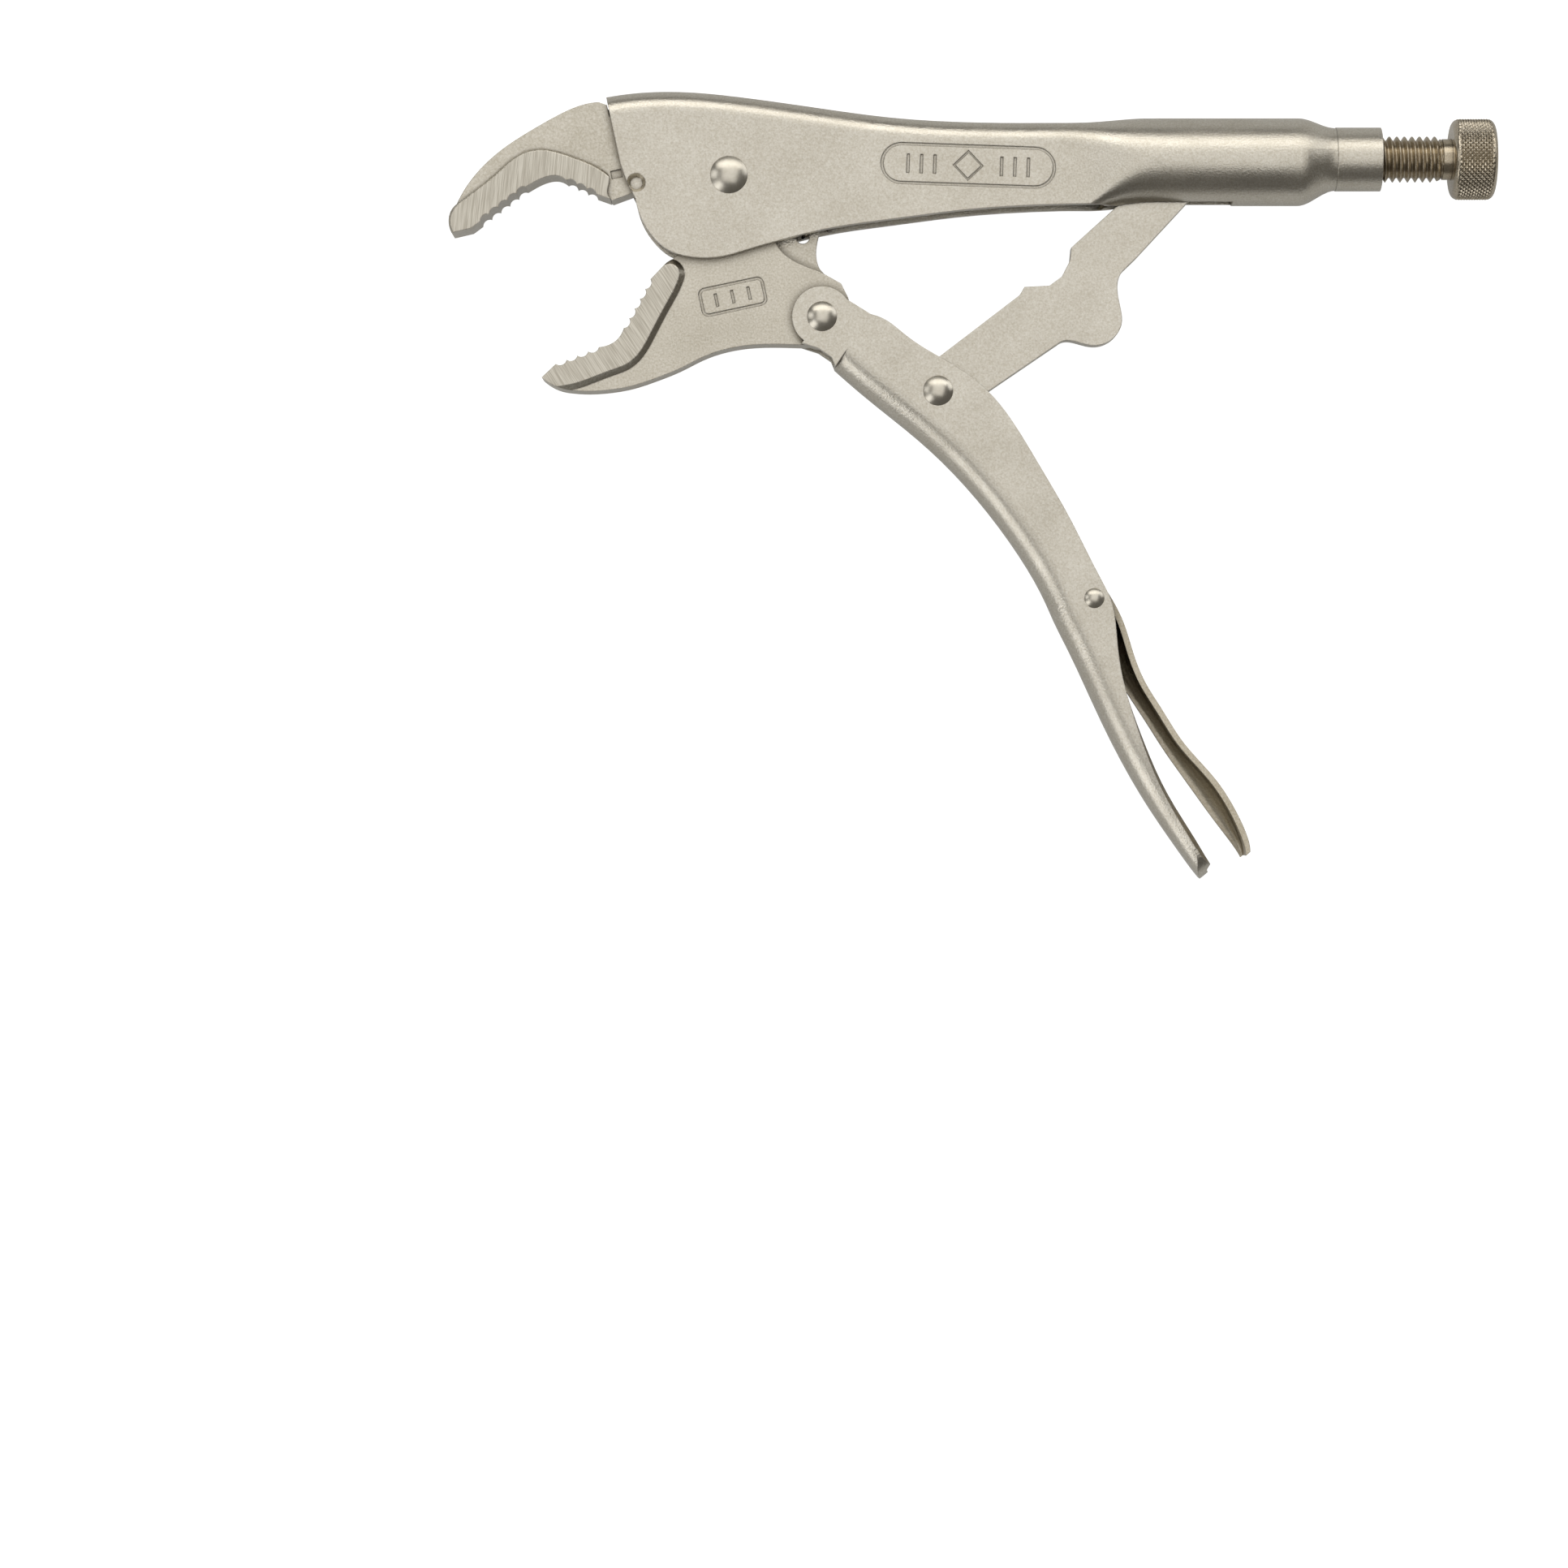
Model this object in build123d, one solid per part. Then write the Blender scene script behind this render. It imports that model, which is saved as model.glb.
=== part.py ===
from build123d import *
import os
from math import cos, hypot, radians, sin, tan

# Locking pliers with curved jaws, lying on one side and fully open.
# Millimetres. While it is modelled, the main pivot stands on the Z axis and Z = 0 is the
# middle plane of the tool. X runs along the fixed handle towards the adjusting knob.

# ---- driving dimensions --------------------------------------------------------------
jaw_thickness = 10.4        # the upper jaw, which the fixed handle is folded round
jaw_side_gap = 0.2          # each side of the lower jaw, so that it can swing
root_half = 2.3             # upper jaw's root, high inside the rounded fold
jaw_seat_gap = 0.02         # each side of the upper jaw, in the fold of the handle
pad_rise = 1.15             # how far the ground tooth pads stand proud of each jaw face
tooth_depth = 0.75
handle_sheet = 2.5          # pressed steel of both handles
lever_sheet = 1.4           # pressed steel of the release lever
lever_bend_radius = 7.5     # outside, where its web turns into its flange
lever_side_gap = 0.2        # each side of the lever inside the lower handle
link_thickness = 5.6
link_slot_gap = 0.7         # each side of the link in the slot under the tube

tube_radius = 10.5          # closed grip of the fixed handle
tube_axis_drop = 0.65       # the grip's axis below the screw's, as the fold stays level on top
tube_length = 33.0          # from the end of the folded transition to the neck
neck_length = 9.0
collar_radius = 7.65
collar_step = 0.15          # how far the collar stands proud of the swaged neck
collar_length = 10.8
screw_axis_y = 4.55
screw_radius = 5.55         # over the crests of the thread
screw_clearance = 0.08      # radial, in the thread of the neck
shank_radius = 4.7          # plain shank between thread and knob
shank_length = 2.2
knob_radius = 9.7
knob_length = 10.4
knob_gap = 17.0             # from the collar's end face to the knob
knob_edge_radius = 1.9
hex_socket_across = 6.35
hex_socket_depth = 6.0

main_rivet_radius = 4.0
main_head_radius = 4.5
main_head_height = 1.6
joint_rivet_radius = 3.1
joint_head_radius = 3.6
joint_head_height = 1.4
lever_rivet_radius = 2.0
lever_head_radius = 2.4
lever_head_height = 1.0
running_gap = 0.06          # radial, round every rivet shank that something turns on

hub_radius = 11.0           # of the lower jaw, round the main pivot
hub_gap = 1.0               # between that hub and the upper jaw
ear_radius = 7.2            # lower handle and lower jaw, round the jaw pivot
link_hub_radius = 6.6
link_nose_radius = 4.0
link_lug_radius = 2.4
link_lug_reach = 6.2        # from the middle plane
screw_tip_gap = 5.7         # free space between the link's nose and the screw's tip

spring_radius = 3.0         # over the coils
spring_wire = 1.0
spring_hole_radius = 1.6
spring_loop_radius = 2.9    # of the end loops, to the middle of the wire
ear_thickness = 3.2         # thin ear of the lower jaw that carries the spring
tab_thickness = 2.0         # lanced tab inside the fixed handle, at the spring's far end
tab_width = 6.0
tongue_radius = 6.6         # rounded end of the lower handle
tongue_tip = (113.4, -168.7)
tongue_turn = 38.0          # degrees from the X axis to the line across that end

engraving_depth = 0.3
engraving_width = 0.7
weld_dimple_radius = 2.3
weld_dimple_depth = 1.6

# ---- places --------------------------------------------------------------------------
main_pivot = (0, 0)
jaw_pivot = (22.3, -33.9)       # lower jaw to lower handle
link_pivot = (50.1, -51.7)      # lower handle to toggle link
lever_pivot = (87.5, -101.4)    # release lever in the lower handle
link_nose = (112.0, screw_axis_y)
spring_ear_hole = (17.7, -14.3)
spring_tab_hole = (48.0, 7.2)
tube_start_x = 104.0
nameplate_centre = (57.3, 2.2)
size_panel_centre = (0.9, -29.0)

# ---- sizes that follow ---------------------------------------------------------------
jaw_half = jaw_thickness / 2
swing_half = jaw_half - jaw_side_gap
seat_half = jaw_half - jaw_seat_gap
pad_half = jaw_half + pad_rise
wall_half = jaw_half + handle_sheet
lever_half = jaw_half - lever_side_gap
tube_end_x = tube_start_x + tube_length
collar_start_x = tube_end_x + neck_length
collar_end_x = collar_start_x + collar_length
knob_start_x = collar_end_x + knob_gap
knob_end_x = knob_start_x + knob_length
screw_tip_x = link_nose[0] + link_nose_radius + screw_tip_gap
slot_half = link_thickness / 2 + link_slot_gap
slot_start_x = 80.0         # where the walls are still open to their full width
slot_end_x = link_nose[0] + 9.0
slot_height = 14.0
tube_axis_y = screw_axis_y - tube_axis_drop
tube_low = tube_axis_y - tube_radius


# ---- small drawing helpers -----------------------------------------------------------
def slab(edges, z_low, z_high):
    """A flat plate of one closed outline between two heights."""
    face = make_face(edges)
    return Pos(0, 0, z_low) * extrude(face, amount=z_high - z_low, dir=(0, 0, 1))


def disc(centre, radius, z_low, z_high):
    """An upright cylinder between two heights."""
    middle = (centre[0], centre[1], (z_low + z_high) / 2)
    return Pos(*middle) * Cylinder(radius, z_high - z_low)


def both_sides(shape):
    """A shape and its mirror image in the middle plane of the tool."""
    return shape + mirror(shape, about=Plane.XY)


def beside(points, distance):
    """Points moved square to the line through their neighbours, to its left."""
    moved = []
    for i, (x, y) in enumerate(points):
        before = points[max(i - 1, 0)]
        after = points[min(i + 1, len(points) - 1)]
        run = (after[0] - before[0], after[1] - before[1])
        length = hypot(*run)
        moved.append((x - run[1] / length * distance, y + run[0] / length * distance))
    return moved


def tooth_row(first, last, count, depth):
    """Crests evenly spaced from first to last, with a round gullet to the left between them."""
    run = (last[0] - first[0], last[1] - first[1])
    length = hypot(*run)
    inward = (-run[1] / length * depth, run[0] / length * depth)
    crests = [(first[0] + run[0] * i / (count - 1), first[1] + run[1] * i / (count - 1))
              for i in range(count)]
    arcs = []
    for a, b in zip(crests, crests[1:]):
        gullet = ((a[0] + b[0]) / 2 + inward[0], (a[1] + b[1]) / 2 + inward[1])
        arcs.append(ThreePointArc(a, gullet, b))
    return arcs


def dome(centre, radius, height, z_base, side):
    """A low rivet head: the cap of a ball standing on a wall, upwards or downwards."""
    ball_radius = (radius ** 2 + height ** 2) / (2 * height)
    ball = Pos(centre[0], centre[1], z_base + side * (height - ball_radius)) * Sphere(ball_radius)
    z_top = z_base + side * 2 * height
    return ball & disc(centre, radius + 1, min(z_base, z_top), max(z_base, z_top))


def rivet(centre, shank_radius, head_radius, head_height):
    """A round rivet through both walls of a handle, with a domed head on each side."""
    shank = disc(centre, shank_radius, -wall_half, wall_half)
    upper_head = dome(centre, head_radius, head_height, wall_half, 1)
    lower_head = dome(centre, head_radius, head_height, -wall_half, -1)
    return shank + upper_head + lower_head


def rivet_hole(centre, radius):
    return disc(centre, radius, -wall_half - 1, wall_half + 1)


# ---- fixed handle --------------------------------------------------------------------
handle_top = [(-44.0, 15.6), (-26.0, 19.7), (-11.5, 20.4), (4.0, 19.0), (24.0, 16.2),
              (46.0, 13.7), (66.0, 13.0), (80.0, 13.0)]
# place along the tool, top edge, and how far the walls have closed into the round tube
closing_stations = [
    (80.0, 13.0, 0.0),
    (86.5, 13.2, 0.19),
    (92.5, 13.75, 0.57),
    (98.5, 14.3, 0.9),
]
neck_steps = 4
fold_radius = 5.0
side_arc = 24.0             # degrees of the round section that follow on each flat side
walls_low = -9.0            # below both walls where they start to close
floor_lead = 1.4            # the lower edges close this much sooner than the sides
least_corner = 0.3
below_handle = -30.0        # well below the handle, where its outline is not trimmed yet


def rounded_section(low, high, half, low_radius, high_radius):
    """A box section across the tool with rounded lower and upper corners."""
    outline = [
        Line((low + low_radius, -half), (high - high_radius, -half)),
        CenterArc((high - high_radius, -half + high_radius), high_radius, -90, 90),
        Line((high, -half + high_radius), (high, half - high_radius)),
        CenterArc((high - high_radius, half - high_radius), high_radius, 0, 90),
        Line((high - high_radius, half), (low + low_radius, half)),
        CenterArc((low + low_radius, half - low_radius), low_radius, 90, 90),
        Line((low, half - low_radius), (low, -half + low_radius)),
        CenterArc((low + low_radius, -half + low_radius), low_radius, 180, 90),
    ]
    return make_face(outline)


def folded_channel(inset):
    """The open channel in front: two flat walls and a rounded fold along the top edge."""
    half = wall_half - inset
    top = beside(handle_top, -inset)
    top[0] = (handle_top[0][0], top[0][1])
    side = Pos(0, 0, -half) * make_face([
        Spline(*top, tangents=[(14, 3.6), (1, 0)]),
        Polyline(top[-1], (top[-1][0], below_handle), (top[0][0], below_handle), top[0])])
    body = extrude(side, amount=2 * half, dir=(0, 0, 1))
    long_edges = body.edges().filter_by(GeomType.BSPLINE)
    return fillet(long_edges, fold_radius - inset)


def round_section(x, y, radius):
    """A circle across the tool, in eight arcs so that it can follow a box section in a loft."""
    outline = []
    angle = 180 + side_arc / 2
    for span in (90 - side_arc, side_arc) * 4:
        outline.append(CenterArc((0, 0), radius, angle, span))
        angle += span
    plane = Plane(origin=(x, y, 0), x_dir=(0, 1, 0), z_dir=(1, 0, 0))
    return plane * make_face(outline[-1:] + outline[:-1])


def closing_length(inset):
    """Where the two walls are rolled inwards until they meet as a tube."""
    faces = []
    for x, top, closing in closing_stations:
        floor_rise = min(1, closing * floor_lead)
        low = walls_low + (tube_low - walls_low) * floor_rise + inset * (2 * floor_rise - 1)
        half = wall_half + (tube_radius - wall_half) * closing - inset
        high_radius = fold_radius + (tube_radius - fold_radius) * closing - inset
        low_radius = max(least_corner, tube_radius * closing - inset)
        plane = Plane(origin=(x, 0, 0), x_dir=(0, 1, 0), z_dir=(1, 0, 0))
        faces.append(plane * rounded_section(low, top - inset, half, low_radius, high_radius))
    faces.append(round_section(tube_start_x, tube_axis_y, tube_radius - inset))
    return loft(faces)


def turned(axis_y, points):
    """A solid of revolution along the tool, from (place along X, radius) points."""
    face = Pos(0, axis_y, 0) * make_face([Polyline(*points, close=True)])
    return revolve(face, axis=Axis((0, axis_y, 0), (1, 0, 0)))


def swaged_neck():
    """The grip drawn down to the neck, in a smooth double curve."""
    neck_radius = collar_radius - collar_step
    faces = []
    for step in range(neck_steps + 1):
        along = step / neck_steps
        drawn = along * along * (3 - 2 * along)
        faces.append(round_section(
            tube_end_x + neck_length * along,
            tube_axis_y + tube_axis_drop * drawn,
            tube_radius + (neck_radius - tube_radius) * drawn))
    return loft(faces)


def tube_outside():
    grip = turned(tube_axis_y, [(tube_start_x, 0), (tube_start_x, tube_radius),
                                (tube_end_x, tube_radius), (tube_end_x, 0)])
    collar = turned(screw_axis_y, [(collar_start_x, 0), (collar_start_x, collar_radius),
                                   (collar_end_x, collar_radius), (collar_end_x, 0)])
    return grip + swaged_neck() + collar


def tube_hollow():
    bore_radius = screw_radius + screw_clearance
    inner_radius = tube_radius - handle_sheet
    narrow_x = tube_end_x - 0.2 * handle_sheet
    bore_x = tube_end_x + neck_length / 2
    bore_end_x = collar_end_x + 1
    grip = turned(tube_axis_y, [(tube_start_x, 0), (tube_start_x, inner_radius),
                                (narrow_x, inner_radius), (narrow_x, 0)])
    cone = loft([round_section(narrow_x, tube_axis_y, inner_radius),
                 round_section(bore_x, screw_axis_y, bore_radius)])
    bore = turned(screw_axis_y, [(bore_x, 0), (bore_x, bore_radius),
                                 (bore_end_x, bore_radius), (bore_end_x, 0)])
    return grip + cone + bore


def handle_trim():
    """What the press cuts away in front of the handle and below it, seen from the side."""
    front_top = (-29.6, 19.4)
    front_low = (-22.4, -5.6)
    rear_low = (94.0, -7.1)
    return [
        Polyline((-80, 40), (-31.6, 40), front_top, (-25.9, 2.4), (-24.5, -1.5), front_low),
        Spline(front_low, (-21.2, -10.0), (-18.3, -14.7), (-14.2, -18.2), (-9.0, -19.7),
               (-1.2, -19.5), (4.4, -17.9), (11.4, -15.9), (23.7, -12.9), (39.2, -10.6),
               (54.8, -8.6), (70.3, -7.4), rear_low),
        Polyline(rear_low, (94, -50), (-80, -50), (-80, 40)),
    ]


def nameplate_engraving():
    """A plain long oval with a lozenge in its middle, pressed into the side of the handle."""
    length, height = 42.0, 10.0
    outer = SlotOverall(length, height)
    inner = SlotOverall(length - 2 * engraving_width, height - 2 * engraving_width)
    lozenge = RegularPolygon(height / 2 - 1.3, 4)
    lozenge_inside = RegularPolygon(height / 2 - 1.3 - engraving_width, 4)
    marks = (outer - inner) + (lozenge - lozenge_inside)
    for side in (-1, 1):
        for step in range(3):
            marks += Pos(side * (8.0 + 3.2 * step), 0) * Rectangle(engraving_width, 4.6)
    return extrude(marks, amount=engraving_depth + 1)


def fixed_handle():
    trim = slab(handle_trim(), -2 * tube_radius, 2 * tube_radius)
    outside = folded_channel(0) + closing_length(0) + tube_outside()
    hollow = folded_channel(handle_sheet) + closing_length(handle_sheet) + tube_hollow()
    body = outside - trim - hollow
    slot_length = slot_end_x - slot_start_x
    slot_middle = (slot_start_x + slot_length / 2, tube_low - 2, 0)
    slot = Pos(*slot_middle) * Box(slot_length, slot_height, 2 * slot_half)
    body -= slot
    tab_top = 12.5
    tab_low = spring_tab_hole[1] - 3.0
    tab = Pos(spring_tab_hole[0], (tab_top + tab_low) / 2, 0) \
        * Box(tab_width, tab_top - tab_low, tab_thickness)
    body += tab
    body -= disc(spring_tab_hole, spring_hole_radius, -tab_thickness, tab_thickness)
    body -= rivet_hole(main_pivot, main_rivet_radius)
    plate = Pos(nameplate_centre[0], nameplate_centre[1], wall_half - engraving_depth) \
        * Rot(0, 0, -2) * nameplate_engraving()
    body -= both_sides(plate)
    return body - both_sides(weld_dimple())


def weld_dimple():
    """The drilled dimple on the seam where handle and upper jaw are welded together."""
    centre = (-22.2, -1.9)
    cone = Cone(weld_dimple_radius - 0.9, weld_dimple_radius + 0.15, weld_dimple_depth + 0.3)
    return Pos(centre[0], centre[1], wall_half - weld_dimple_depth / 2 + 0.15) * cone


# ---- jaws ----------------------------------------------------------------------------
def bevelled_pad(groove_points, other_edges, bevel):
    """A ground tooth pad, bevelled down to the jaw face along its groove line."""
    pad = slab([Spline(*groove_points)] + other_edges, -pad_half, pad_half)
    top_edge = pad.faces().sort_by(Axis.Z)[-1].edges().sort_by(SortBy.LENGTH)[-1]
    low_edge = pad.faces().sort_by(Axis.Z)[0].edges().sort_by(SortBy.LENGTH)[-1]
    return chamfer([top_edge, low_edge], bevel)


def upper_jaw():
    tip_top = (-65.4, -6.9)
    tip_low = (-66.5, -13.8)
    heel = (-28.4, -5.7)
    pad_end = (-29.3, 0.6)
    row_a = ((-59.6, -11.0), (-48.7, -2.8))
    row_b = ((-38.9, -1.2), (-31.8, -4.5))
    groove = [tip_top, (-61.4, -3.8), (-56.9, -0.3), (-53.0, 3.2), (-49.7, 5.4), (-45.8, 6.4),
              (-41.9, 6.0), (-37.4, 4.6), (-32.5, 2.6), pad_end]
    pad = bevelled_pad(groove, [
        Spline(pad_end, (-28.7, -0.9), (-29.1, -3.2), heel),
        Line(heel, row_b[1]),
        *tooth_row(row_b[1], row_b[0], 4, -tooth_depth),
        Spline(row_b[0], (-41.1, -0.1), (-45.3, -0.9), row_a[1]),
        *tooth_row(row_a[1], row_a[0], 6, -tooth_depth),
        Polyline(row_a[0], (-61.9, -12.7), tip_low),
        Spline(tip_low, (-67.2, -11.6), (-67.1, -9.6), tip_top),
    ], 0.5)
    shoulder = (-31.3, 17.7)
    back_top = (-13.5, 14.4)
    hub_relief = hub_radius + hub_gap
    relief_top = (-hub_relief * cos(radians(38)), hub_relief * sin(radians(38)))
    relief_middle = (-hub_relief * cos(radians(26)), hub_relief * sin(radians(26)))
    relief_low = (-hub_relief * cos(radians(14)), hub_relief * sin(radians(14)))
    plate = slab([
        Spline(tip_top, (-60.1, 1.2), (-53.6, 7.0), (-47.2, 11.1), (-40.8, 14.7),
               (-35.0, 17.1), shoulder),
        Polyline(shoulder, (-29.3, 17.0), (-28.7, 14.2), back_top, relief_top),
        ThreePointArc(relief_top, relief_middle, relief_low),
        Polyline(relief_low, (-14.6, -0.2), (-17.6, -2.6), (-23.1, -4.1), (-28.0, -5.9),
                 (-29.6, -4.6), (-34.0, -1.0), (-40.0, 2.2), (-46.5, 2.6), (-52.0, -1.8),
                 (-60.0, -7.4), tip_top),
    ], -seat_half, seat_half)
    root = slab([Polyline((-31.0, 13.0), (-26.5, 13.0), (-26.5, 16.3), (-31.0, 16.3),
                          close=True)], -root_half, root_half)
    notch = Pos(-27.0, 0.4, jaw_half) * Rot(0, 0, 12) * Box(2.6, 2.0, 1.0)
    return pad + plate + root - both_sides(notch) - both_sides(weld_dimple())


def lower_jaw():
    tip = (-44.9, -48.4)
    pad_low = (-38.0, -51.45)
    pad_top = (-13.7, -20.0)
    row_a = ((-41.5, -45.2), (-31.2, -41.2))
    row_b = ((-25.2, -36.6), (-18.8, -24.9))
    corner = (-14.9, -20.8)
    groove = [pad_low, (-35.5, -50.8), (-28.3, -48.1), (-23.8, -46.3), (-20.9, -43.8),
              (-18.0, -39.1), (-14.1, -31.7), (-11.0, -25.5), (-10.6, -23.2),
              (-11.5, -21.2), pad_top]
    pad = bevelled_pad(groove, [
        Line(pad_top, corner),
        Line(corner, row_b[1]),
        *tooth_row(row_b[1], row_b[0], 6, tooth_depth),
        Spline(row_b[0], (-26.4, -38.9), row_a[1]),
        *tooth_row(row_a[1], row_a[0], 5, tooth_depth),
        Line(row_a[0], tip),
        Spline(tip, (-42.1, -50.3), pad_low),
    ], pad_rise + jaw_side_gap)
    step_top = (11.0, -15.4)
    lobe_left = (19.8, -40.6)
    lobe_right = (29.3, -32.0)
    body = slab([
        Polyline(lobe_right, (28.6, -29.2), (26.9, -25.8), (23.5, -23.9), (21.8, -23.0)),
        Spline((21.8, -23.0), (17.1, -21.2), (13.6, -19.1), step_top),
        Polyline(step_top, (10.9, -1.5), (-10.9, -1.5), (-12.0, -18.6), (-14.0, -20.4),
                 (-16.5, -27.0), (-21.5, -36.5), (-27.5, -43.5), (-38.0, -48.5), pad_low),
        Spline(pad_low, (-34.1, -51.7), (-28.9, -51.4), (-23.2, -50.4), (-17.4, -48.5),
               (-11.5, -46.1), (-6.1, -43.4), (-1.2, -41.7), (4.2, -40.7), (12.0, -40.4),
               lobe_left),
        Line(lobe_left, lobe_right),
    ], -swing_half, swing_half)
    body += disc(main_pivot, hub_radius, -swing_half, swing_half)
    body += disc(jaw_pivot, ear_radius, -swing_half, swing_half)
    ear = slab([
        Polyline((22.0, -12.4), (20.6, -10.2), (16.5, -9.3), (9.0, -9.3), (9.0, -20.0),
                 (18.0, -25.0), (24.5, -25.0), (21.8, -22.0)),
        Spline((21.8, -22.0), (21.0, -19.4), (21.1, -16.2), (22.0, -12.4)),
    ], -ear_thickness / 2, ear_thickness / 2)
    jaw = pad + body + ear
    jaw -= disc(spring_ear_hole, spring_hole_radius, -ear_thickness, ear_thickness)
    jaw -= rivet_hole(main_pivot, main_rivet_radius + running_gap)
    jaw -= rivet_hole(jaw_pivot, joint_rivet_radius + running_gap)
    panel = RectangleRounded(16.0, 7.0, 1.6)
    panel_inside = RectangleRounded(16.0 - 2 * engraving_width, 7.0 - 2 * engraving_width, 1.0)
    marks = panel - panel_inside
    for step in (-1, 0, 1):
        marks += Pos(4.0 * step, 0) * Rectangle(engraving_width, 3.2)
    frame = Pos(size_panel_centre[0], size_panel_centre[1], swing_half - engraving_depth) \
        * Rot(0, 0, 12) * extrude(marks, amount=engraving_depth + 1)
    return jaw - both_sides(frame)


# ---- lower handle --------------------------------------------------------------------
# open edge, back, half width at the back, back corner radius, and how far the walls splay
lower_stations = [
    ((34.0, -33.4), (25.3, -46.2), wall_half, 6.0, 0),
    ((43.0, -38.9), (32.8, -52.7), wall_half, 6.0, 0),
    ((52.5, -44.8), (41.0, -59.3), wall_half, 6.0, 0),
    ((62.2, -52.0), (48.3, -65.5), wall_half, 6.0, 0),
    ((71.9, -65.4), (57.8, -75.2), wall_half, 6.0, 0),
    ((79.9, -79.0), (66.6, -86.3), wall_half, 6.0, 0),
    ((86.7, -92.2), (74.6, -99.0), wall_half, 6.0, 0),
    ((91.6, -102.1), (78.4, -107.2), wall_half, 6.0, 0),
    ((93.2, -113.5), (83.3, -117.1), wall_half, 6.0, 0),
    ((95.6, -125.5), (88.6, -128.6), wall_half, 5.8, 4),
    ((99.0, -136.0), (93.6, -138.7), wall_half, 5.6, 13),
    ((103.4, -146.7), (99.4, -148.9), wall_half - 0.2, 5.2, 20),
    ((108.0, -155.0), (104.6, -156.8), wall_half - 0.5, 4.6, 25),
    ((112.0, -161.6), (109.4, -163.6), wall_half - 1.0, 3.8, 28),
    ((115.4, -166.9), (113.4, -168.8), wall_half - 1.6, 3.4, 28),
]


def channel_face(station, inset):
    """One section across the lower handle: the outside, or the hollow when inset."""
    edge, back, half, radius, splay = station
    depth = hypot(edge[0] - back[0], edge[1] - back[1])
    direction = Vector(edge[0] - back[0], edge[1] - back[1], 0)
    plane = Plane(origin=(back[0], back[1], 0), x_dir=direction,
                  z_dir=direction.cross(Vector(0, 0, 1)))
    lean = radians(splay)
    middle = (radius, half - radius)
    bend = radius - inset
    wall_start = (middle[0] - bend * sin(lean), middle[1] + bend * cos(lean))
    if inset:
        top = depth + 4
        lip = []
    else:
        top = depth
        lip_side = wall_start[1] + (top - wall_start[0]) * tan(lean)
        lip_width = handle_sheet + 0.6
        lip = [(top + lip_width * sin(lean) + 0.02, lip_side - lip_width * cos(lean))]
    wall_top = (top, wall_start[1] + (top - wall_start[0]) * tan(lean))
    turn = 90 - splay
    over = [(u, -v) for u, v in lip] + lip
    outline = [
        Polyline((wall_top[0], -wall_top[1]), (wall_start[0], -wall_start[1])),
        CenterArc((middle[0], -middle[1]), bend, 270 - splay, -turn),
        Line((middle[0] - bend, -middle[1]), (middle[0] - bend, middle[1])),
        CenterArc(middle, bend, 180, -turn),
        Polyline(wall_start, wall_top),
        Polyline(wall_top, *reversed(over), (wall_top[0], -wall_top[1])),
    ]
    return plane * make_face(outline)


def lower_handle():
    outside = loft([channel_face(station, 0) for station in lower_stations])
    hollow = loft([channel_face(station, handle_sheet) for station in lower_stations])
    ears = slab([Polyline(
        (28.2, -29.8), (34.0, -33.4), (38.2, -36.1), (33.0, -41.0), (28.9, -40.9),
        (25.5, -45.9), (24.6, -43.7), (21.5, -41.6), (17.4, -40.3), close=True)],
        -wall_half, wall_half)
    ears += disc(jaw_pivot, ear_radius, -wall_half, wall_half)
    gap = slab([Polyline((10, -20), (40, -20), (54, -40), (34.6, -48.6), (26.6, -42.0),
                         (24, -48), (10, -48), close=True)], -jaw_half, jaw_half)
    body = outside + ears - hollow - gap
    end = Pos(tongue_tip[0], tongue_tip[1], 0) * Rot(0, 0, tongue_turn)
    tongue = Pos(0, tongue_radius, 0) * Rot(0, 90, 0) * Cylinder(tongue_radius, 20)
    beyond = Pos(0, tongue_radius / 2 - 2, 0) * Box(16, tongue_radius + 4, 30)
    body -= end * (beyond - tongue)
    body -= rivet_hole(jaw_pivot, joint_rivet_radius)
    body -= rivet_hole(link_pivot, joint_rivet_radius)
    return body - rivet_hole(lever_pivot, lever_rivet_radius)


# ---- toggle link ---------------------------------------------------------------------
def toggle_link():
    half = link_thickness / 2
    nose_upper = (109.3, 7.5)
    nose_lower = (115.3, 2.3)
    arm = slab([
        Polyline((46.4, -46.3), (69.8, -28.4), (71.0, -26.4), (77.0, -26.1), (80.0, -23.9),
                 (82.0, -20.0), (82.3, -16.9), nose_upper),
        Line(nose_upper, nose_lower),
        Polyline(nose_lower, (111.6, -4.6), (97.9, -19.4), (94.6, -22.6)),
        Spline((94.6, -22.6), (93.4, -25.5), (94.2, -31.9), (94.4, -35.2), (92.2, -38.9),
               (88.1, -40.5), (84.2, -39.8), (80.7, -39.3), (79.0, -40.1)),
        Polyline((79.0, -40.1), (54.2, -57.0), (46.4, -46.3)),
    ], -half, half)
    hub = disc(link_pivot, link_hub_radius, -lever_half, lever_half)
    nose = disc(link_nose, link_nose_radius, -half, half)
    lugs = disc(link_nose, link_lug_radius, -link_lug_reach, link_lug_reach)
    link = arm + hub + nose + lugs
    return link - rivet_hole(link_pivot, joint_rivet_radius + running_gap)


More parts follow.
